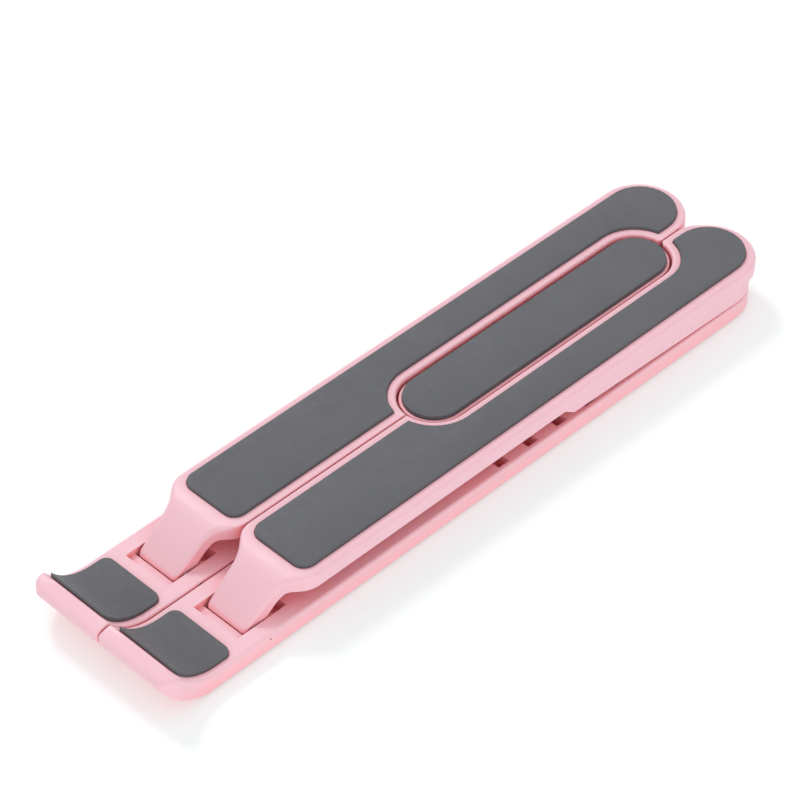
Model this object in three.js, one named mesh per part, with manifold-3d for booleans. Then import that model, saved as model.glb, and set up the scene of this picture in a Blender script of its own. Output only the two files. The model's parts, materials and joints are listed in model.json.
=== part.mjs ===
// Folding laptop stand, stowed flat: two base rails with hooked front lips, two support arms with
// soft pads, two prop legs folded under the arms, and a hub with a padded capsule that joins the
// rear ends. Millimetres, +X to the right, +Y towards the rear, +Z up from the desk.
// Stations along Y are counted from the inner edge of the lip; the last lines move the whole
// stand so that its origin is at the middle of its footprint.
import * as THREE from "three";
import Module from "manifold-3d";
import { mergeVertices } from "three/addons/utils/BufferGeometryUtils.js";

const wasm = await Module();
wasm.setup();

// Widths: each side of the stand is one half, mirrored about the seam at X = 0.
const SEAM = 0.2;
const OUTER = 27;
const HALF_CENTRE = (SEAM + OUTER) / 2;
const HALF_RADIUS = (OUTER - SEAM) / 2;

// Heights above the desk.
const RAIL_BOTTOM = 0.5;
const DECK = 5.9;
const ARM_TOP = 16.2;
const ARM_SKIN = 1.6;
const ARM_WALL = 1.8;
const SKIRT_BOTTOM = 11.6;
const PAD_RECESS = 0.4;
const PAD_PROUD = 1.0;
const CAPSULE_TOP = 15.2;
const CAPSULE_BOTTOM = 6.2;
const CAPSULE_PAD_TOP = 16.5;

// Stations along the stand.
const LIP_FRONT = -5;
const LIP_TOP = 14.2;
const RAIL_REAR = 230.7;
const ARM_REAR = 232.9;
const HOOK_PAD = { inner: 2.6, outer: 24.7, front: 0.1, rear: 19.6, frontCorner: 1.2, rearCorner: 2.6 };
const ARM_PAD = { inner: 2.85, outer: 23.9, front: 46, rear: 230 };
const PAD_GAP = 0.2;

// Hinge pocket in the deck: a ramp in front, a notch at one end and a stop block at the other.
const POCKET = { inner: 5.2, outer: 21.8, front: 23.6, rampEnd: 26.8, rear: 41.5, floor: 1.2 };
const NOTCH = { width: 4.3, rear: 30, floor: 4.2 };
const STOP = { width: 1.4, front: 34.8, rear: 37.4, top: 5 };

// Front hinge between a rail and its arm, and the prop leg's pivot under the arm.
const HINGE = { y: 31, z: 4.4, pin: 1.0, bore: 1.08, inner: 0.6, outer: 25.6, dimple: 0.35 };
const PROP = { y: 104.5, z: 12.2, pin: 0.9, bore: 0.98, inner: 13.2, outer: 21.8 };
const PROP_LENGTH = Math.hypot(PROP.y - HINGE.y, PROP.z - HINGE.z);
const PROP_FOLD = THREE.MathUtils.degToRad(4.02);
const PROP_HALF = 1.5;

// The row of pits that the prop leg's foot drops into.
const PITS = { first: 120.6, pitch: 11.75, count: 5, length: 4.2, inner: 12.4, outer: 25.4, floor: 1.6 };
const CHANNEL = { inner: 12.4, outer: 22.4, floor: 4.0, front: 112, rear: 182 };

// Centre capsule, and the hub plate and swivel pins under it.
const CAPSULE = { front: 118.8, rear: 202.4, half: 9.9, gap: 0.6, pad: 8.9, wall: 1.6, padFree: 13.15 };
const HUB = { bottom: 3.4, top: 5.6, half: 6, front: 126, eye: 5.2, x: 5.5, y: 222 };
const HUB_CLEARANCE = 0.35;
const SCREW_STATIONS = [140, 190];

const PINK = { color: 0xf2c4cd, roughness: 0.5, metalness: 0 };
const GREY = { color: 0x6b6c70, roughness: 0.85, metalness: 0 };
const DARK = { color: 0x4a4b4e, roughness: 0.9, metalness: 0 };
const STEEL = { color: 0xc4c6c8, roughness: 0.35, metalness: 1 };

// Outline helpers. An outline is a list of [x, y] points, in order round a closed shape.
function arc(x, y, radius, startDegrees, endDegrees, steps = 12) {
  return Array.from({ length: steps + 1 }, (_, i) => {
    const angle = THREE.MathUtils.degToRad(startDegrees + ((endDegrees - startDegrees) * i) / steps);
    return [x + radius * Math.cos(angle), y + radius * Math.sin(angle)];
  });
}

// Corners are [x, y, radius]; every corner with a radius becomes an arc tangent to both sides.
const DEGREES_PER_STEP = 12;
function rounded(corners) {
  return corners.flatMap(([x, y, radius = 0], index) => {
    if (radius === 0) return [[x, y]];
    const corner = new THREE.Vector2(x, y);
    const before = new THREE.Vector2(...corners.at(index - 1).slice(0, 2)).sub(corner).normalize();
    const next = corners[(index + 1) % corners.length];
    const after = new THREE.Vector2(...next.slice(0, 2)).sub(corner).normalize();
    const half = Math.acos(before.dot(after)) / 2;
    const centre = before.clone().add(after).normalize().multiplyScalar(radius / Math.sin(half)).add(corner);
    const start = before.clone().multiplyScalar(radius / Math.tan(half)).add(corner).sub(centre);
    const end = after.clone().multiplyScalar(radius / Math.tan(half)).add(corner).sub(centre);
    const sweep = Math.atan2(start.cross(end), start.dot(end));
    const steps = Math.max(2, Math.ceil(Math.abs(THREE.MathUtils.radToDeg(sweep)) / DEGREES_PER_STEP));
    return Array.from({ length: steps + 1 }, (_, i) => {
      const angle = start.angle() + (sweep * i) / steps;
      return [centre.x + radius * Math.cos(angle), centre.y + radius * Math.sin(angle)];
    });
  });
}

const box2 = (x0, y0, x1, y1, radius = 0) => rounded([
  [x0, y0, radius],
  [x1, y0, radius],
  [x1, y1, radius],
  [x0, y1, radius],
]);

const stadium = (half) => [
  ...arc(0, CAPSULE.rear, half, 0, 180, 20),
  ...arc(0, CAPSULE.front, half, 180, 360, 20),
];

// Solids. A geometry becomes a manifold solid with its shared vertices merged.
function solid(geometry) {
  const bare = geometry.clone();
  bare.deleteAttribute("normal");
  bare.deleteAttribute("uv");
  const merged = mergeVertices(bare, 1e-4);
  return new wasm.Manifold(new wasm.Mesh({
    numProp: 3,
    vertProperties: new Float32Array(merged.attributes.position.array),
    triVerts: new Uint32Array(merged.index.array),
  }));
}

function extrude(outline, depth) {
  const shape = new THREE.Shape(outline.map(([x, y]) => new THREE.Vector2(x, y)));
  return new THREE.ExtrudeGeometry(shape, { depth, bevelEnabled: false });
}

// An outline seen from above, raised between two heights.
const upright = (outline, z0, z1) => solid(extrude(outline, z1 - z0).translate(0, 0, z0));

// An outline seen from the side, in [y, z], spread between two X positions.
const ALONG_X = new THREE.Matrix4().makeBasis(
  new THREE.Vector3(0, 1, 0),
  new THREE.Vector3(0, 0, 1),
  new THREE.Vector3(1, 0, 0),
);
const sideways = (outline, x0, x1) => solid(
  extrude(outline, x1 - x0).applyMatrix4(ALONG_X).translate(x0, 0, 0),
);

// An outline seen from the front, in [x, z], spread between two Y positions.
const ALONG_Y = new THREE.Matrix4().makeBasis(
  new THREE.Vector3(1, 0, 0),
  new THREE.Vector3(0, 0, 1),
  new THREE.Vector3(0, -1, 0),
);
const lengthways = (outline, y0, y1) => solid(
  extrude(outline, y1 - y0).applyMatrix4(ALONG_Y).translate(0, y1, 0),
);

const block = (x0, y0, z0, x1, y1, z1) => upright(box2(x0, y0, x1, y1), z0, z1);

// A turned piece on a vertical axis, from a closed profile of [radius, z].
function turned(profile, x, y, segments = 24) {
  const points = profile.map(([radius, z]) => new THREE.Vector2(radius, z));
  const lathe = new THREE.LatheGeometry(points, segments).rotateX(Math.PI / 2);
  return solid(lathe.translate(x, y, 0));
}

const crossRod = (y, z, radius, x0, x1, steps = 24) => sideways(
  arc(y, z, radius, 0, 360 - 360 / steps, steps - 1),
  x0,
  x1,
);

// Base rail. Its hook is a concave seat tangent to the deck, rising to a gently arched lip, with
// the underside of the lip curved about the same centre.
const SEAT_RADIUS = 17.1;
const SEAT_CENTRE = [14, DECK + SEAT_RADIUS];
const SEAT_ANGLE = THREE.MathUtils.radToDeg(Math.acos(1 - (LIP_TOP - DECK) / SEAT_RADIUS));
const KEEL_RADIUS = 23.1;
const KEEL_START = THREE.MathUtils.radToDeg(Math.acos((SEAT_CENTRE[1] - RAIL_BOTTOM) / KEEL_RADIUS));
const KEEL_END = 54.2;

const railPlan = () => rounded([
  [SEAM, LIP_FRONT, 1],
  [OUTER, LIP_FRONT, 4],
  [OUTER, RAIL_REAR, HALF_RADIUS - 0.001],
  [SEAM, RAIL_REAR, HALF_RADIUS - 0.001],
]);

const railSide = () => {
  const seat = arc(...SEAT_CENTRE, SEAT_RADIUS, 270 - SEAT_ANGLE, 270, 9);
  const keel = arc(...SEAT_CENTRE, KEEL_RADIUS, 270 - KEEL_START, 270 - KEEL_END, 8);
  return [
    [RAIL_REAR + 1, DECK],
    [RAIL_REAR + 1, RAIL_BOTTOM],
    ...keel.slice(0, -1),
    ...rounded([
      keel.at(-1),
      [LIP_FRONT, 10.2, 0.8],
      [LIP_FRONT, LIP_TOP - 1.6, 1.8],
      seat[0],
    ]),
    ...seat.slice(1),
  ];
};

// The front of a rail: the lip is highest in its middle and falls to its rounded corners.
const railFront = () => rounded([
  [SEAM, 0],
  [OUTER, 0],
  [OUTER, LIP_TOP - 0.9, 1],
  [HALF_CENTRE + 6, LIP_TOP, 25],
  [HALF_CENTRE - 6, LIP_TOP, 25],
  [SEAM, LIP_TOP - 0.5, 0.8],
]);

// The curved band that a hook pad fills, or that its recess removes, over the seat and deck.
const seatBand = (below, above, rear) => [
  ...arc(...SEAT_CENTRE, SEAT_RADIUS + below, 272 - SEAT_ANGLE, 270, 9),
  [rear, DECK - below],
  [rear, DECK + above],
  ...arc(...SEAT_CENTRE, SEAT_RADIUS - above, 270, 272 - SEAT_ANGLE, 9),
];

const hookPadPlan = (grow) => rounded([
  [HOOK_PAD.inner - grow, HOOK_PAD.front - grow, HOOK_PAD.frontCorner],
  [HOOK_PAD.outer + grow, HOOK_PAD.front - grow, HOOK_PAD.frontCorner],
  [HOOK_PAD.outer + grow, HOOK_PAD.rear + grow, HOOK_PAD.rearCorner],
  [HOOK_PAD.inner - grow, HOOK_PAD.rear + grow, HOOK_PAD.rearCorner],
]);

function hookPad() {
  const band = sideways(seatBand(PAD_RECESS - 0.05, PAD_PROUD, HOOK_PAD.rear), 0, OUTER);
  return upright(hookPadPlan(0), 0, LIP_TOP + 3).intersect(band);
}

// The notch is at the pocket's -X end and the stop block at its +X end, so these two swap between
// the inner and the outer side from one rail to the other.
function hingePocket(notchAtInner) {
  const pocket = sideways([
    [POCKET.front, DECK + 1],
    [POCKET.front, DECK],
    [POCKET.rampEnd, DECK - 1.6],
    [POCKET.rampEnd, POCKET.floor],
    [POCKET.rear, POCKET.floor],
    [POCKET.rear, DECK + 1],
  ], POCKET.inner, POCKET.outer);
  const notchStart = notchAtInner ? POCKET.inner : POCKET.outer - NOTCH.width;
  const stopStart = notchAtInner ? POCKET.outer - STOP.width : POCKET.inner;
  return pocket
    .add(block(notchStart, POCKET.front, NOTCH.floor, notchStart + NOTCH.width, NOTCH.rear, DECK + 1))
    .subtract(block(stopStart, STOP.front, 0, stopStart + STOP.width, STOP.rear, STOP.top));
}

const pitStations = () => Array.from({ length: PITS.count }, (_, i) => PITS.first + i * PITS.pitch);

const HUB_PIN = { shank: 1.6, head: 3.0, headBottom: 0.75, headTop: 1.7, flange: 2.4, flangeBottom: 4.95 };
const FEET = {
  front: [4.5, 14.6, 23.5, 22.4],
  rear: [12, 192, 24.5, 212],
};
const FOOT_RECESS = 1.0;

function rail(notchAtInner) {
  let body = upright(railPlan(), 0, LIP_TOP + 1)
    .intersect(sideways(railSide(), 0, OUTER))
    .intersect(lengthways(railFront(), LIP_FRONT - 1, RAIL_REAR + 1));
  const recess = sideways(seatBand(PAD_RECESS, 8, HOOK_PAD.rear + PAD_GAP), 0, OUTER);
  const cuts = [
    upright(hookPadPlan(PAD_GAP), 0, LIP_TOP + 3).intersect(recess),
    hingePocket(notchAtInner),
    // The hinge bore is open at the seam; only a dimple shows on the outer side of the rail.
    crossRod(HINGE.y, HINGE.z, HINGE.bore, -1, HINGE.outer + 0.2),
    crossRod(HINGE.y, HINGE.z, HINGE.dimple, HINGE.outer, OUTER + 1, 12),
    block(CHANNEL.inner, CHANNEL.front, CHANNEL.floor, CHANNEL.outer, CHANNEL.rear, DECK + 1),
    // Room for the hub plate, and for its round eye as the rail swings about the swivel pin.
    block(-1, HUB.front - 0.5, HUB.bottom - 0.3, HUB.half + HUB_CLEARANCE, HUB.y, DECK + 1),
    upright(arc(HUB.x, HUB.y, HUB.eye + HUB_CLEARANCE, 0, 345, 23), HUB.bottom - 0.3, DECK + 1),
    upright(arc(HUB.x, HUB.y, HUB_PIN.shank + 0.08, 0, 345, 23), 0, DECK),
    upright(arc(HUB.x, HUB.y, HUB_PIN.head + 0.3, 0, 345, 23), 0, HUB_PIN.headTop + 0.05),
    ...Object.values(FEET).map((foot) => upright(box2(...foot, 2), 0, FOOT_RECESS)),
    ...pitStations().map((y) =>
      block(PITS.inner, y - PITS.length / 2, PITS.floor, PITS.outer, y + PITS.length / 2, DECK + 1)),
    // Hollows under the rail, with ribs left between them.
    ...[[50, 68], [71, 89], [92, 110]].map(([y0, y1]) => upright(box2(3, y0, 24.2, y1, 2), 0, DECK - 1.8)),
  ];
  cuts.forEach((cut) => {
    body = body.subtract(cut);
  });
  return body;
}

const foot = (outline) => upright(box2(
  outline[0] + 0.15,
  outline[1] + 0.15,
  outline[2] - 0.15,
  outline[3] - 0.15,
  1.85,
), 0, FOOT_RECESS - 0.05);

// Support arm. The neck narrows in an S-curve to a tongue that ramps down to the front hinge.
const TONGUE = { tip: 27.1, half: 7.3, neck: 8.2, neckEnd: 39.6, shoulder: 46 };
const RAMP = { tipTop: 5.0, rise: 0.82 };

function armPlan() {
  const left = HALF_CENTRE - HALF_RADIUS;
  const right = HALF_CENTRE + HALF_RADIUS;
  return rounded([
    [HALF_CENTRE - TONGUE.half, TONGUE.tip],
    [HALF_CENTRE + TONGUE.half, TONGUE.tip],
    [HALF_CENTRE + TONGUE.neck, TONGUE.neckEnd, 8],
    [right, TONGUE.shoulder, 8],
    [right, ARM_REAR, HALF_RADIUS - 0.001],
    [left, ARM_REAR, HALF_RADIUS - 0.001],
    [left, TONGUE.shoulder, 8],
    [HALF_CENTRE - TONGUE.neck, TONGUE.neckEnd, 8],
  ]);
}

function armSide() {
  const rampEnd = TONGUE.tip + (ARM_TOP - RAMP.tipTop) / RAMP.rise;
  return rounded([
    [TONGUE.tip, RAMP.tipTop - 0.9, 0.3],
    [TONGUE.tip, RAMP.tipTop, 1.2],
    [rampEnd, ARM_TOP, 6],
    [ARM_REAR + 1, ARM_TOP],
    [ARM_REAR + 1, 6.15],
    [147.2, 8.95, 1.5],
    [143.4, SKIRT_BOTTOM, 2],
    [rampEnd, SKIRT_BOTTOM, 3],
    [HINGE.y + 3.2, HINGE.z + 1, 1],
    [HINGE.y + 2.8, HINGE.z - 2, 1],
    [HINGE.y - 1, HINGE.z - 2, 1],
  ]);
}

// The space under the arm's skin; the walls round it are the skirt.
const armCavity = () => rounded([
  [SEAM + ARM_WALL, 49, 3],
  [OUTER - ARM_WALL, 49, 3],
  [OUTER - ARM_WALL, RAIL_REAR - ARM_WALL, HALF_RADIUS - ARM_WALL - 0.001],
  [SEAM + ARM_WALL, RAIL_REAR - ARM_WALL, HALF_RADIUS - ARM_WALL - 0.001],
]);

// Below the shallow skirt only the outer wall and the round rear end carry on down, and there the
// arm keeps to the outline of the rail.
const RAIL_REAR_CENTRE = RAIL_REAR - HALF_RADIUS;
const lowCavity = () => [
  [-1, 138],
  [OUTER - ARM_WALL, 138],
  ...arc(HALF_CENTRE, RAIL_REAR_CENTRE, HALF_RADIUS - ARM_WALL, 0, 180, 16),
  [-1, RAIL_REAR_CENTRE],
];
const rearOverhang = () => block(-1, RAIL_REAR_CENTRE, 0, OUTER + 1, ARM_REAR + 1, SKIRT_BOTTOM)
  .subtract(upright(arc(HALF_CENTRE, RAIL_REAR_CENTRE, HALF_RADIUS, 0, 345, 23), -1, ARM_TOP));

const armPadPlan = (grow) => rounded([
  [ARM_PAD.inner - grow, ARM_PAD.front - grow, 4],
  [ARM_PAD.outer + grow, ARM_PAD.front - grow, 4],
  [ARM_PAD.outer + grow, ARM_PAD.rear + grow, 10.5 + grow],
  [ARM_PAD.inner - grow, ARM_PAD.rear + grow, 10.5 + grow],
]);

function pivotEar(x0, x1) {
  const tip = PROP.z - 2.2;
  return sideways(rounded([
    [PROP.y - 2.6, ARM_TOP - 1],
    [PROP.y - 2.6, tip, 2.4],
    [PROP.y + 2.6, tip, 2.4],
    [PROP.y + 2.6, ARM_TOP - 1],
  ]), x0, x1);
}

function arm() {
  const skinBottom = ARM_TOP - ARM_SKIN;
  const capsuleWall = stadium(CAPSULE.half + CAPSULE.gap + ARM_WALL);
  let body = upright(armPlan(), 0, ARM_TOP + 1).intersect(sideways(armSide(), 0, OUTER));
  const cavity = upright(armCavity(), 0, skinBottom).subtract(upright(capsuleWall, 0, skinBottom + 1));
  body = body.subtract(cavity).subtract(upright(lowCavity(), 0, SKIRT_BOTTOM)).subtract(rearOverhang());
  body = body.subtract(upright(stadium(CAPSULE.half + CAPSULE.gap), 0, ARM_TOP + 1));
  // The cusp behind the capsule is cut back so that it clears the capsule as the half swings.
  body = body.subtract(upright([[-1, 211], [2.4, 211.6], [-1, 215]], 0, ARM_TOP + 1));
  const padRecess = upright(armPadPlan(PAD_GAP), ARM_TOP - PAD_RECESS, ARM_TOP + 1);
  body = body.subtract(padRecess.subtract(upright(stadium(CAPSULE.padFree - PAD_GAP), 0, ARM_TOP + 2)));
  [[11, PROP.inner - 0.4], [PROP.outer + 0.4, 24]].forEach(([x0, x1]) => {
    body = body.add(pivotEar(x0, x1));
  });
  body = body.subtract(crossRod(PROP.y, PROP.z, PROP.bore, 10, 24.4));
  return body.subtract(crossRod(HINGE.y, HINGE.z, HINGE.bore, 0, OUTER));
}

const armPad = () => upright(armPadPlan(0), ARM_TOP - PAD_RECESS + 0.05, ARM_TOP + PAD_PROUD)
  .subtract(upright(stadium(CAPSULE.padFree), 0, ARM_TOP + 2));

// Prop leg, folded back under the arm. Its foot swings down to the pits as the arm rises.
function leg() {
  const start = [PROP.y, PROP.z];
  const end = [
    PROP.y + PROP_LENGTH * Math.cos(PROP_FOLD),
    PROP.z - PROP_LENGTH * Math.sin(PROP_FOLD),
  ];
  const lean = -THREE.MathUtils.radToDeg(PROP_FOLD);
  const bar = sideways([
    ...arc(...start, PROP_HALF, lean + 90, lean + 270, 8),
    ...arc(...end, PROP_HALF, lean - 90, lean + 90, 8),
  ], PROP.inner, PROP.outer);
  const knuckle = crossRod(...start, 2.1, PROP.inner, PROP.outer);
  const window = upright(box2(PROP.inner + 2.2, PROP.y + 8, PROP.outer - 2.2, end[0] - 8, 2), 0, ARM_TOP);
  return bar.add(knuckle).subtract(window).subtract(crossRod(...start, PROP.bore, 0, OUTER));
}

// Hub plate: a stem under the capsule with an eye at each swivel pin.
function hubPlate() {
  let plate = block(-HUB.half, HUB.front, HUB.bottom, HUB.half, HUB.y, HUB.top);
  [-HUB.x, HUB.x].forEach((x) => {
    plate = plate.add(upright(arc(x, HUB.y, HUB.eye, 0, 345, 23), HUB.bottom, HUB.top));
  });
  [-HUB.x, HUB.x].forEach((x) => {
    const flangeSeat = upright(arc(x, HUB.y, HUB_PIN.flange + 0.1, 0, 345, 23), 0, ARM_TOP);
    plate = plate.subtract(upright(arc(x, HUB.y, HUB_PIN.shank + 0.02, 0, 345, 23), 0, ARM_TOP));
    plate = plate.subtract(flangeSeat.trimByPlane([0, 0, 1], HUB_PIN.flangeBottom - 0.05));
  });
  SCREW_STATIONS.forEach((y) => {
    plate = plate.subtract(upright(arc(0, y, 1.3, 0, 345, 23), 0, ARM_TOP));
    plate = plate.subtract(upright(arc(0, y, 2.8, 0, 345, 23), 0, HUB.bottom + 1.15));
  });
  return plate;
}

function capsule() {
  const inner = CAPSULE.half - CAPSULE.wall;
  let body = upright(stadium(CAPSULE.half), CAPSULE_BOTTOM, CAPSULE_TOP);
  body = body.subtract(upright(stadium(inner), 0, CAPSULE_TOP - CAPSULE.wall - PAD_RECESS));
  body = body.subtract(upright(stadium(CAPSULE.pad + 0.15), CAPSULE_TOP - PAD_RECESS, CAPSULE_TOP + 1));
  SCREW_STATIONS.forEach((y) => {
    body = body.add(upright(arc(0, y, 3.2, 0, 345, 23), HUB.top + 0.02, CAPSULE_TOP - 1));
  });
  SCREW_STATIONS.forEach((y) => {
    body = body.subtract(upright(arc(0, y, 1.25, 0, 345, 23), 0, 12));
  });
  return body;
}

const capsulePad = () => upright(stadium(CAPSULE.pad), CAPSULE_TOP - PAD_RECESS + 0.05, CAPSULE_PAD_TOP);

const capsuleScrew = (y) => turned([
  [0, HUB.bottom + 0.1],
  [2.6, HUB.bottom + 0.1],
  [2.6, HUB.bottom + 1.1],
  [1.2, HUB.bottom + 1.1],
  [1.2, 11.5],
  [0, 11.9],
], 0, y);

const swivelPin = (x) => turned([
  [0, HUB_PIN.headBottom],
  [HUB_PIN.head, HUB_PIN.headBottom],
  [HUB_PIN.head, HUB_PIN.headTop],
  [HUB_PIN.shank, HUB_PIN.headTop],
  [HUB_PIN.shank, HUB_PIN.flangeBottom],
  [HUB_PIN.flange, HUB_PIN.flangeBottom],
  [HUB_PIN.flange, HUB.top - 0.1],
  [0, HUB.top - 0.1],
], x, HUB.y);

// Named meshes. The left half is the right half mirrored about the seam.
const stand = new THREE.Group();
const layout = new THREE.Group();
layout.position.y = -(LIP_FRONT + ARM_REAR) / 2;
stand.add(layout);

function place(name, body, look, mirrored = false) {
  const { vertProperties, triVerts } = body.getMesh();
  const geometry = new THREE.BufferGeometry();
  geometry.setAttribute("position", new THREE.BufferAttribute(new Float32Array(vertProperties), 3));
  geometry.setIndex(Array.from(triVerts));
  if (mirrored) {
    geometry.scale(-1, 1, 1);
    const index = geometry.index.array;
    for (let i = 0; i < index.length; i += 3) {
      [index[i], index[i + 1]] = [index[i + 1], index[i]];
    }
  }
  const mesh = new THREE.Mesh(geometry, new THREE.MeshStandardMaterial(look));
  mesh.name = name;
  layout.add(mesh);
}

const hingePin = crossRod(HINGE.y, HINGE.z, HINGE.pin, HINGE.inner, HINGE.outer);
const legPin = crossRod(PROP.y, PROP.z, PROP.pin, 10.8, 24.2);
for (const side of ["left", "right"]) {
  const mirrored = side === "left";
  place(`rail_${side}`, rail(!mirrored), PINK, mirrored);
  place(`hook_pad_${side}`, hookPad(), GREY, mirrored);
  place(`foot_front_${side}`, foot(FEET.front), DARK, mirrored);
  place(`foot_rear_${side}`, foot(FEET.rear), DARK, mirrored);
  place(`hinge_pin_${side}`, hingePin, STEEL, mirrored);
  place(`arm_${side}`, arm(), PINK, mirrored);
  place(`arm_pad_${side}`, armPad(), GREY, mirrored);
  place(`leg_${side}`, leg(), PINK, mirrored);
  place(`leg_pin_${side}`, legPin, STEEL, mirrored);
  place(`swivel_pin_${side}`, swivelPin(HUB.x), STEEL, mirrored);
}
place("hub_plate", hubPlate(), PINK);
place("center_capsule", capsule(), PINK);
place("center_pad", capsulePad(), GREY);
SCREW_STATIONS.forEach((y, i) => place(`capsule_screw_${i + 1}`, capsuleScrew(y), STEEL));

export default stand;
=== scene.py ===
"""Folding laptop stand, stowed: finished shells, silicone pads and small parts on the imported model."""
import json
import math

import bmesh
import bpy
from mathutils import Matrix, Vector

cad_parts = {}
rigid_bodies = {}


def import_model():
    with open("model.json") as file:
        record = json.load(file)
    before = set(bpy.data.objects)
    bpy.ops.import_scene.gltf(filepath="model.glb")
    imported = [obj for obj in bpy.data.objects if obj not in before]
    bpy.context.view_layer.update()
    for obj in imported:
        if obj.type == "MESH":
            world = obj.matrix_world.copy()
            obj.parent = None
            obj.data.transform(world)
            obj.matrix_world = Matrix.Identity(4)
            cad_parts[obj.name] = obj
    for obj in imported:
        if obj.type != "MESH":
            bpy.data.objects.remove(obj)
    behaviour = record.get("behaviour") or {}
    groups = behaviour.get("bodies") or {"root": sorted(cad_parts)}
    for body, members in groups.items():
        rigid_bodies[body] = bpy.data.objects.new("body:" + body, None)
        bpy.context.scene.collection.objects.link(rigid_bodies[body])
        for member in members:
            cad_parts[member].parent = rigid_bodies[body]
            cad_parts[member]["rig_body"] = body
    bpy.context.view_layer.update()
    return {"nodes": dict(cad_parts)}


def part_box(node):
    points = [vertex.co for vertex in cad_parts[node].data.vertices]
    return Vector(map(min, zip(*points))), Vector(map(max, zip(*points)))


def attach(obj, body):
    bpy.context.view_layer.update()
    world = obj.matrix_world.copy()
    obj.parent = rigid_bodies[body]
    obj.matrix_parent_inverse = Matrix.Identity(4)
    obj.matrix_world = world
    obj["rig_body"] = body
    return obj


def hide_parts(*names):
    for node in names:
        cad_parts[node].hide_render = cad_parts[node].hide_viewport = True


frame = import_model()

MM = 0.001
SIDES = ("left", "right")


# ---------------------------------------------------------------- dimensions, in millimetres
def corner_mm(node):
    """The lowest and highest corner of a CAD node, in millimetres."""
    low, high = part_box(node)
    return low / MM, high / MM


ARM_LOW, ARM_HIGH = corner_mm("arm_right")
RAIL_LOW, RAIL_HIGH = corner_mm("rail_right")
CAPSULE_LOW, CAPSULE_HIGH = corner_mm("center_capsule")

# Each half reaches from the seam to the rail's outer side. The right half is drawn and the left mirrored.
SEAM = 0.2
# A trimming solid stands this far outside the faces that it leaves alone.
SKIN = 0.003
INNER_SIDE, OUTER_SIDE = SEAM - SKIN, RAIL_HIGH.x + SKIN
HALF_CENTRE = (INNER_SIDE + OUTER_SIDE) / 2
HALF_RADIUS = (OUTER_SIDE - INNER_SIDE) / 2

# Rail: the lip's inner edge, the level deck, and the round seat with the underside about its centre.
LIP_INNER = RAIL_LOW.y + 5
DECK = RAIL_LOW.z + 5.4
SEAT_CENTRE = LIP_INNER + 14
SEAT_RADIUS = 17.1
KEEL_RADIUS = 23.1
NOSE_SLOPE, NOSE_START = 0.369, LIP_INNER - 0.66
CREST = {"inner": 7.6, "inner_slope": 0.068, "outer": 19.6, "outer_slope": 0.122}
CREST_BLEND = 0.12

# Arm: the tongue's tip, the ramp up from it, and the neck that widens into the full width.
TONGUE_TIP = ARM_LOW.y
TONGUE_HALF, TONGUE_CORNER = 7.3, 1.3
NECK_HALF, NECK_END = 8.2, LIP_INNER + 39.6
SHOULDER, SHOULDER_RADIUS = LIP_INNER + 46, 8
RAMP_RISE = 0.82
RAMP_END = TONGUE_TIP + 11.2 / RAMP_RISE
RAMP_BLEND = 1.3

CAPSULE_HALF = CAPSULE_HIGH.x
CAPSULE_GAP = 0.6
LARGEST_ROUND = 0.3


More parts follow.
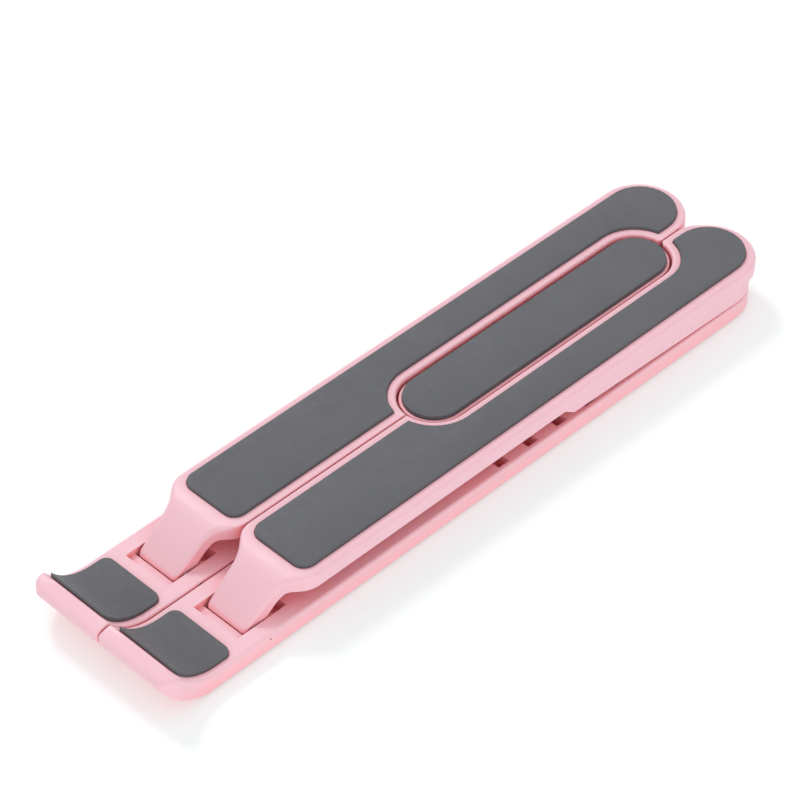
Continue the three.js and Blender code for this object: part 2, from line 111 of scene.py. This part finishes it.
# ---------------------------------------------------------------- materials
class Shader:
    """A node material with a Principled surface and short ways to add texture, and painted shade, to it.
    """

    def __init__(self, name, color, roughness, metallic=0.0):
        self.material = bpy.data.materials.new(name)
        self.material.use_nodes = True
        self.tree = self.material.node_tree
        self.surface = self.tree.nodes["Principled BSDF"]
        self.surface.inputs["Base Color"].default_value = (*color, 1)
        self.surface.inputs["Roughness"].default_value = roughness
        self.surface.inputs["Metallic"].default_value = metallic
        self.place = self.tree.nodes.new("ShaderNodeTexCoord").outputs["Object"]
        self.bump = None

    def link(self, output, target):
        self.tree.links.new(output, target)

    def noise(self, scale, detail=2.0, rough=0.5, stretch=None):
        """Noise with a feature about 1/scale metres across, stretched by a vector if one is given."""
        node = self.tree.nodes.new("ShaderNodeTexNoise")
        node.inputs["Scale"].default_value = scale
        node.inputs["Detail"].default_value = detail
        node.inputs["Roughness"].default_value = rough
        place = self.place
        if stretch:
            mapping = self.tree.nodes.new("ShaderNodeMapping")
            mapping.inputs["Scale"].default_value = stretch
            self.link(place, mapping.inputs["Vector"])
            place = mapping.outputs["Vector"]
        self.link(place, node.inputs["Vector"])
        return node.outputs["Fac"]

    def ramp(self, value, low, high, start=0.3, end=0.7):
        """Maps a noise value to a range of numbers."""
        node = self.tree.nodes.new("ShaderNodeMapRange")
        for name, number in (("From Min", start), ("From Max", end), ("To Min", low), ("To Max", high)):
            node.inputs[name].default_value = number
        self.link(value, node.inputs["Value"])
        return node.outputs["Result"]

    def tint(self, value, low, high):
        """Colours the surface between two colours by a noise value."""
        node = self.tree.nodes.new("ShaderNodeMix")
        node.data_type = "RGBA"
        node.inputs["A"].default_value = (*low, 1)
        node.inputs["B"].default_value = (*high, 1)
        self.link(self.ramp(value, 0.0, 1.0), node.inputs["Factor"])
        self.link(node.outputs["Result"], self.surface.inputs["Base Color"])

    def painted_crevice_shade(self, color, reach, open_from=0.25, open_to=0.9):
        """Paints shade into the base colour: deepens it where other surfaces within a reach in metres
        close it in, as shade falls in hollows, corners and under overhangs.
        """
        occlusion = self.tree.nodes.new("ShaderNodeAmbientOcclusion")
        occlusion.samples = 8
        occlusion.inputs["Distance"].default_value = reach
        node = self.tree.nodes.new("ShaderNodeMix")
        node.data_type = "RGBA"
        base = self.surface.inputs["Base Color"]
        before = base.links[0].from_socket
        node.inputs["A"].default_value = (*color, 1)
        self.link(before, node.inputs["B"])
        self.link(self.ramp(occlusion.outputs["AO"], 0.0, 1.0, open_from, open_to), node.inputs["Factor"])
        self.link(node.outputs["Result"], base)

    def relief(self, value, height, strength=1.0):
        """Adds bump of a height in metres, on top of any that is there."""
        node = self.tree.nodes.new("ShaderNodeBump")
        node.inputs["Distance"].default_value = height
        node.inputs["Strength"].default_value = strength
        self.link(value, node.inputs["Height"])
        if self.bump:
            self.link(self.bump, node.inputs["Normal"])
        self.bump = node.outputs["Normal"]
        self.link(self.bump, self.surface.inputs["Normal"])


def scaled(color, factor):
    return tuple(min(1.0, channel * factor) for channel in color)


def moulded_plastic():
    """Pale pink moulded plastic: satin, with the fine grain of a spark-eroded mould, and painted shade in
    its hollows.
    """
    pink = (0.780, 0.480, 0.545)
    shader = Shader("pink_plastic", pink, 0.42)
    shader.tint(shader.noise(28, 3), scaled(pink, 0.985), scaled(pink, 1.01))
    # Painted shade: a deeper, redder pink where surfaces within 12 mm close in, for the reddish bounce
    # light in hollows and under the arms' skirts; then a dark pink within 2 mm, painted as the thin shade
    # line in tight corners and along the pads' edges.
    shader.painted_crevice_shade((0.97, 0.375, 0.405), 0.012, 0.25, 0.92)
    shader.painted_crevice_shade((0.62, 0.21, 0.235), 0.002, 0.15, 0.6)
    shader.link(shader.ramp(shader.noise(160, 4), 0.38, 0.48), shader.surface.inputs["Roughness"])
    shader.relief(shader.noise(5200, 2, 0.6), 6e-6, 0.5)
    shader.relief(shader.noise(90, 2), 2e-5, 0.25)
    shader.surface.inputs["Specular IOR Level"].default_value = 0.42
    shader.surface.inputs["Subsurface Weight"].default_value = 0.12
    shader.surface.inputs["Subsurface Radius"].default_value = (0.0016, 0.0008, 0.0008)
    shader.surface.inputs["Subsurface Scale"].default_value = 1.0
    return shader.material


def silicone():
    """Grey silicone pad: matt, faintly clouded, with a fine velvety tooth."""
    grey = (0.094, 0.096, 0.106)
    shader = Shader("grey_silicone", grey, 0.62)
    shader.tint(shader.noise(60, 4, 0.6), scaled(grey, 0.95), scaled(grey, 1.06))
    shader.link(shader.ramp(shader.noise(420, 3), 0.56, 0.70), shader.surface.inputs["Roughness"])
    shader.relief(shader.noise(6500, 2, 0.7), 8e-6, 0.6)
    shader.surface.inputs["Specular IOR Level"].default_value = 0.3
    shader.surface.inputs["Sheen Weight"].default_value = 0.08
    shader.surface.inputs["Sheen Roughness"].default_value = 0.6
    return shader.material


def rubber():
    """Dark rubber of the feet, duller and coarser than the pads."""
    dark = (0.055, 0.055, 0.058)
    shader = Shader("dark_rubber", dark, 0.8)
    shader.tint(shader.noise(120, 3), scaled(dark, 0.85), scaled(dark, 1.2))
    shader.relief(shader.noise(3500, 3, 0.7), 2e-5, 0.6)
    shader.surface.inputs["Specular IOR Level"].default_value = 0.25
    return shader.material


def steel():
    """Plain drawn steel of the pins and screws, with fine turning lines."""
    metal = (0.56, 0.57, 0.58)
    shader = Shader("drawn_steel", metal, 0.3, 1.0)
    shader.tint(shader.noise(900, 2), scaled(metal, 0.9), scaled(metal, 1.08))
    lines = shader.noise(2400, 2, 0.5, (0.05, 1, 1))
    shader.link(shader.ramp(lines, 0.22, 0.4), shader.surface.inputs["Roughness"])
    return shader.material


MATERIALS = {"shell": moulded_plastic(), "pads": silicone(), "feet": rubber(), "pins": steel()}


# ---------------------------------------------------------------- outlines, in millimetres
def smooth_step(value, start, end):
    t = min(1.0, max(0.0, (value - start) / (end - start)))
    return t * t * (3 - 2 * t)


def soft_min(a, b, softness):
    """The lower of two numbers, blended where they are close."""
    return min(a, b) - softness * math.log(1 + math.exp(-abs(a - b) / softness))


def rounded(corners, step=7.0):
    """An outline, anticlockwise, whose corners (x, y, radius) are arcs of small steps in degrees."""
    points = []
    for index, (x, y, radius) in enumerate(corners):
        corner = Vector((x, y))
        before = (Vector(corners[index - 1][:2]) - corner).normalized()
        after = (Vector(corners[(index + 1) % len(corners)][:2]) - corner).normalized()
        half = math.acos(before.dot(after)) / 2
        centre = corner + (before + after).normalized() * (radius / math.sin(half))
        start = corner + before * (radius / math.tan(half)) - centre
        end = corner + after * (radius / math.tan(half)) - centre
        sweep = math.atan2(start.x * end.y - start.y * end.x, start.dot(end))
        first = math.atan2(start.y, start.x)
        count = max(2, math.ceil(abs(math.degrees(sweep)) / step))
        for i in range(count + 1):
            angle = first + sweep * i / count
            points.append(centre + radius * Vector((math.cos(angle), math.sin(angle))))
    return points


def stadium(half, front, rear, steps=48):
    """A slot's outline about the middle line."""
    points = []
    for y, start in ((rear, 0), (front, math.pi)):
        for i in range(steps + 1):
            angle = start + math.pi * i / steps
            points.append(Vector((half * math.cos(angle), y + half * math.sin(angle))))
    return points


def outward(outline):
    """The outward normal at each point of an anticlockwise outline."""
    normals = []
    for index, point in enumerate(outline):
        along = (outline[(index + 1) % len(outline)] - outline[index - 1]).normalized()
        normals.append(Vector((along.y, -along.x)))
    return normals


# ---------------------------------------------------------------- soft solids that trim the shells
def soft_solid(outline, bottom, top, top_round, bottom_round=None, flare=1, steps=6):
    """A closed solid over an outline, with a rounded upper rim, and a lower one if asked.

    top_round and bottom_round give the radius at a point of the outline. With a flare of -1 the
    rim opens outwards, as a cutter for the mouth of a hole.
    """
    normals = outward(outline)

    def rim_row(level, radius_at, way, angle):
        """The outline at one angle round a rim that starts at a level and turns up (1) or down (-1)."""
        inset, rise = 1 - math.cos(angle), 1 - math.sin(angle)
        lean = flare if way < 0 else 1
        points = []
        for point, normal in zip(outline, normals):
            radius = radius_at(point)
            points.append((point - normal * lean * radius * inset, level + way * radius * rise))
        return points

    rows = []
    if bottom_round:
        for i in range(steps):
            rows.append(rim_row(bottom, bottom_round, 1, math.pi / 2 * (1 - i / steps)))
    else:
        rows.append([(point, bottom) for point in outline])
    for i in range(steps + 1):
        rows.append(rim_row(top, top_round, -1, math.pi / 2 * i / steps))
    if flare < 0:
        rows.append([(place, top + 1) for place, _ in rows[-1]])
    bm = bmesh.new()
    rings = [[bm.verts.new((place.x, place.y, z)) for place, z in row] for row in rows]
    count = len(outline)
    for lower, upper in zip(rings, rings[1:]):
        for i in range(count):
            j = (i + 1) % count
            bm.faces.new((lower[i], lower[j], upper[j], upper[i]))
    bm.faces.new(rings[-1])
    bm.faces.new(reversed(rings[0]))
    return bm


def slice_across(bm, axis, places, faces=None):
    """Cuts the faces of a mesh by planes across one axis, so that they can follow a curve."""
    normal = Vector((0, 0, 0))
    normal[axis] = 1
    for place in places:
        chosen = [face for face in bm.faces if faces is None or faces(face)]
        around = set(chosen)
        for face in chosen:
            around.update(face.edges)
            around.update(face.verts)
        bmesh.ops.bisect_plane(bm, geom=list(around), dist=1e-5, plane_co=normal * place, plane_no=normal)


def as_tool(bm, mirrored=False):
    """Turns a mesh in millimetres into an object in metres, on the left side if mirrored."""
    bmesh.ops.remove_doubles(bm, verts=bm.verts, dist=1e-4)
    side = -1 if mirrored else 1
    for vert in bm.verts:
        vert.co = Vector((vert.co.x * side, vert.co.y, vert.co.z)) * MM
    if mirrored:
        bmesh.ops.reverse_faces(bm, faces=bm.faces)
    mesh = bpy.data.meshes.new("tool")
    bm.to_mesh(mesh)
    bm.free()
    tool = bpy.data.objects.new("tool", mesh)
    bpy.context.scene.collection.objects.link(tool)
    return tool


def arm_top(y):
    """Height of the arm's top at a station: the ramp of the neck, then level."""
    ramp = ARM_HIGH.z + RAMP_RISE * (y - RAMP_END)
    return soft_min(ramp, ARM_HIGH.z, RAMP_BLEND)


def rim_radius(point):
    """Radius of an arm's upper rim: soft outside, finer along the seam and at the tip."""
    radius = 0.4 + 1.1 * smooth_step(abs(point.x), 0.5, 3.5)
    return min(radius, 0.9 + 0.6 * smooth_step(point.y, TONGUE_TIP + 1, TONGUE_TIP + 6))


def round_end(y):
    """The two corners that make the rear end of a half round, their arcs a hair short of meeting."""
    radius = HALF_RADIUS - 0.001
    return [(OUTER_SIDE, y, radius), (INNER_SIDE, y, radius)]


def arm_envelope(mirrored):
    """The space inside an arm's softened rim, with the ramp of its neck."""
    tip = TONGUE_TIP - SKIN
    outline = rounded([
        (HALF_CENTRE - TONGUE_HALF - SKIN, tip, TONGUE_CORNER),
        (HALF_CENTRE + TONGUE_HALF + SKIN, tip, TONGUE_CORNER),
        (HALF_CENTRE + NECK_HALF + SKIN, NECK_END, SHOULDER_RADIUS),
        (OUTER_SIDE, SHOULDER, SHOULDER_RADIUS),
        *round_end(ARM_HIGH.y + SKIN),
        (INNER_SIDE, SHOULDER, SHOULDER_RADIUS),
        (HALF_CENTRE - NECK_HALF - SKIN, NECK_END, SHOULDER_RADIUS),
    ])
    bm = soft_solid(outline, -1, ARM_HIGH.z + SKIN, rim_radius)
    slice_across(bm, 1, [LIP_INNER + 28 + 0.8 * i for i in range(26)])
    for vert in bm.verts:
        if vert.co.z > 0:
            vert.co.z -= ARM_HIGH.z - arm_top(vert.co.y)
    return as_tool(bm, mirrored)


def capsule_outline(gap):
    """The capsule's outline, wider by a gap all round."""
    return stadium(CAPSULE_HALF + gap, CAPSULE_LOW.y + CAPSULE_HALF, CAPSULE_HIGH.y - CAPSULE_HALF)


def capsule_mouth(mirrored):
    """A cutter that rounds the arm's rim where the capsule's opening passes through it."""
    mouth = soft_solid(capsule_outline(CAPSULE_GAP), -1, ARM_HIGH.z + SKIN, lambda point: 1.0, flare=-1)
    return as_tool(mouth, mirrored)


def capsule_envelope():
    """The space inside the capsule's softened rim."""
    return as_tool(soft_solid(capsule_outline(SKIN), 0, CAPSULE_HIGH.z + SKIN, lambda point: 0.55))


def rail_top(x, y):
    """Height of the rail's top: level deck, round seat, then the crest and nose of the lip."""
    if y > SEAT_CENTRE:
        return DECK
    reach = min(SEAT_RADIUS, SEAT_CENTRE - y)
    seat = DECK + SEAT_RADIUS - math.sqrt(SEAT_RADIUS ** 2 - reach ** 2)
    nose = RAIL_HIGH.z - NOSE_SLOPE * (NOSE_START - y)
    outer_fall = CREST["outer_slope"] * max(0, abs(x) - CREST["outer"])
    inner_fall = CREST["inner_slope"] * max(0, CREST["inner"] - abs(x))
    crest = RAIL_HIGH.z - outer_fall - inner_fall
    return soft_min(soft_min(seat, nose, CREST_BLEND), crest, CREST_BLEND)


def rail_bottom(y):
    """Height of the rail's underside, which curves up under the lip about the seat's centre."""
    reach = max(0, SEAT_CENTRE - y)
    return max(RAIL_LOW.z, DECK + SEAT_RADIUS - math.sqrt(KEEL_RADIUS ** 2 - reach ** 2))


def rail_envelope(mirrored):
    """The space inside a rail's softened rims, from the lip to the round rear end."""
    outline = rounded([
        (INNER_SIDE, RAIL_LOW.y - SKIN, 1.1),
        (OUTER_SIDE, RAIL_LOW.y - SKIN, 4.2),
        *round_end(RAIL_HIGH.y + SKIN),
    ])

    def top_round(point):
        side = 0.35 + 0.5 * smooth_step(point.x, 0.5, 3.5)
        return side + 0.35 * smooth_step(LIP_INNER + 6 - point.y, 0, 6)

    def bottom_round(point):
        return 0.35 + 0.25 * smooth_step(point.x, 0.5, 3.5)

    bottom, top = RAIL_LOW.z - SKIN, RAIL_HIGH.z + SKIN
    bm = soft_solid(outline, bottom, top, top_round, bottom_round)
    slice_across(bm, 1, [RAIL_LOW.y + 0.7 * (i + 1) for i in range(27)])
    slice_across(bm, 0, [2.5 + 1.5 * i for i in range(16)],
                 lambda face: max(v.co.y for v in face.verts) < SEAT_CENTRE + 1)
    for vert in bm.verts:
        if vert.co.z > (bottom + top) / 2:
            vert.co.z -= RAIL_HIGH.z - rail_top(vert.co.x, vert.co.y)
        else:
            vert.co.z += rail_bottom(vert.co.y) - RAIL_LOW.z
    return as_tool(bm, mirrored)


# ---------------------------------------------------------------- fine copies of the CAD pieces
def rounding(radius):
    """A rule that rounds the convex edges by a radius in millimetres and leaves the others."""
    return lambda edge: radius if edge.is_convex else 0.0


SOFT, FINE = rounding(0.18), rounding(0.2)


def tidy(bm, flat=1.5):
    """Merges points that meet, and faces that lie within an angle in degrees of flat."""
    bmesh.ops.remove_doubles(bm, verts=bm.verts, dist=3e-6)
    bmesh.ops.dissolve_limit(bm, angle_limit=math.radians(flat), verts=bm.verts, edges=bm.edges)
    bm.normal_update()


def adopt(piece, node, slot):
    """Lets a fine piece stand in for its CAD node, with its body and the material named by its slot."""
    piece.data.materials.append(MATERIALS[slot])
    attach(piece, frame["nodes"][node]["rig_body"])
    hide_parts(node)


def bare_copy(node):
    """A cleaned copy of a CAD node, in its place."""
    mesh = bpy.data.meshes.new(node + "_fine")
    bm = bmesh.new()
    bm.from_mesh(frame["nodes"][node].data)
    tidy(bm)
    bm.to_mesh(mesh)
    bm.free()
    piece = bpy.data.objects.new(node + "_fine", mesh)
    bpy.context.scene.collection.objects.link(piece)
    return piece


def trim(node, slot, tools, sharpest=32):
    """Cuts a CAD node back by soft solids, then shades it smooth up to edges sharper than an angle."""
    piece = bare_copy(node)
    for operation, tool in tools:
        cut = piece.modifiers.new("trim", "BOOLEAN")
        cut.operation = operation
        cut.solver = "MANIFOLD"
        cut.object = tool
    shape = piece.evaluated_get(bpy.context.evaluated_depsgraph_get())
    mesh = bpy.data.meshes.new_from_object(shape)
    piece.modifiers.clear()
    piece.data = mesh
    for _, tool in tools:
        bpy.data.objects.remove(tool)
    bm = bmesh.new()
    bm.from_mesh(mesh)
    tidy(bm, 0.6)
    for face in bm.faces:
        face.smooth = True
    for edge in bm.edges:
        edge.smooth = len(edge.link_faces) == 2 and edge.calc_face_angle() < math.radians(sharpest)
    bm.to_mesh(mesh)
    bm.free()
    mesh.materials.clear()
    shading = piece.modifiers.new("shading", "WEIGHTED_NORMAL")
    shading.keep_sharp = True
    adopt(piece, node, slot)


def refine(node, slot, radius_at, sharpest=28, segments=3):
    """Rounds the edges of a CAD node that are sharper than an angle, by a rule for their radius."""
    piece = bare_copy(node)
    bm = bmesh.new()
    bm.from_mesh(piece.data)
    bm.normal_update()
    weight = bm.edges.layers.float.new("bevel_weight_edge")
    for face in bm.faces:
        face.smooth = True
    for edge in bm.edges:
        if len(edge.link_faces) == 2 and edge.calc_face_angle() > math.radians(sharpest):
            radius = radius_at(edge)
            edge[weight] = radius / LARGEST_ROUND
            edge.smooth = radius > 0
    bm.to_mesh(piece.data)
    bm.free()
    bevel = piece.modifiers.new("rounding", "BEVEL")
    bevel.limit_method = "WEIGHT"
    bevel.width = LARGEST_ROUND * MM
    bevel.segments = segments
    bevel.use_clamp_overlap = True
    bevel.harden_normals = True
    bevel.miter_outer = "MITER_ARC"
    adopt(piece, node, slot)


for side in SIDES:
    mirrored = side == "left"
    trim(f"rail_{side}", "shell", [("INTERSECT", rail_envelope(mirrored))])
    trim(f"arm_{side}", "shell", [
        ("INTERSECT", arm_envelope(mirrored)),
        ("DIFFERENCE", capsule_mouth(mirrored)),
    ])
    refine(f"leg_{side}", "shell", FINE)
    for pad in ("arm_pad", "hook_pad"):
        refine(f"{pad}_{side}", "pads", SOFT)
    for foot in ("foot_front", "foot_rear"):
        refine(f"{foot}_{side}", "feet", SOFT)
    for pin in ("hinge_pin", "leg_pin", "swivel_pin"):
        refine(f"{pin}_{side}", "pins", FINE)
refine("hub_plate", "shell", FINE)
trim("center_capsule", "shell", [("INTERSECT", capsule_envelope())])
refine("center_pad", "pads", SOFT)
for screw in ("capsule_screw_1", "capsule_screw_2"):
    refine(screw, "pins", FINE)


# ---------------------------------------------------------------- floor, light and camera
def floor():
    """A plain pale floor, a hair below the feet so that no faces coincide."""
    shader = Shader("floor_white", (0.64, 0.67, 0.67), 0.8)
    shader.surface.inputs["Specular IOR Level"].default_value = 0.1
    shader.surface.inputs["Emission Color"].default_value = (0.97, 1, 1, 1)
    shader.surface.inputs["Emission Strength"].default_value = 0.32
    bpy.ops.mesh.primitive_plane_add(size=8, location=(0, 0, -0.00005))
    plane = bpy.context.object
    plane.name = "floor"
    plane.data.materials.append(shader.material)


def area_light(name, place, size, power):
    """A white disk light aimed at the middle of the stand, sizes in metres and power in watts."""
    data = bpy.data.lights.new(name, "AREA")
    data.shape = "DISK"
    data.size = size
    data.energy = power
    light = bpy.data.objects.new(name, data)
    light.location = place
    light.rotation_euler = (-Vector(place)).to_track_quat("-Z", "Y").to_euler()
    bpy.context.scene.collection.objects.link(light)


def studio():
    """An even white surround, a key light from the left, and two soft lights from the front right."""
    world = bpy.data.worlds.new("studio")
    bpy.context.scene.world = world
    world.use_nodes = True
    background = world.node_tree.nodes["Background"]
    background.inputs["Color"].default_value = (1, 1, 1, 1)
    background.inputs["Strength"].default_value = 0.85
    area_light("key", (-1.2, 0.3, 1.3), 0.5, 11)
    area_light("fill", (0.9, -1.3, 0.6), 1.2, 4)
    area_light("side", (1.6, -0.4, 0.28), 1.0, 5)
    bpy.context.scene.view_settings.view_transform = "Standard"


CAMERA_PLACE = Vector((0.4543, -0.4594, 0.6124))
CAMERA_AZIMUTH, CAMERA_ELEVATION, CAMERA_ROLL = 45.21, 42.63, -0.17
CAMERA_LENS = 143.15


def camera():
    """A long-lens camera that looks down from the front right."""
    azimuth, elevation, roll = (math.radians(a) for a in (CAMERA_AZIMUTH, CAMERA_ELEVATION, CAMERA_ROLL))
    level = math.cos(elevation)
    back = Vector((math.sin(azimuth) * level, -math.cos(azimuth) * level, math.sin(elevation)))
    right = Vector((math.cos(azimuth), math.sin(azimuth), 0))
    up = back.cross(right)
    axes = Matrix((right, up, back)).transposed().to_4x4()
    data = bpy.data.cameras.new("camera")
    data.lens = CAMERA_LENS
    data.sensor_width = 36
    data.clip_end = 20
    camera_object = bpy.data.objects.new("camera", data)
    camera_object.matrix_world = Matrix.Translation(CAMERA_PLACE) @ axes @ Matrix.Rotation(roll, 4, "Z")
    bpy.context.scene.collection.objects.link(camera_object)
    bpy.context.scene.camera = camera_object


floor()
studio()
camera()
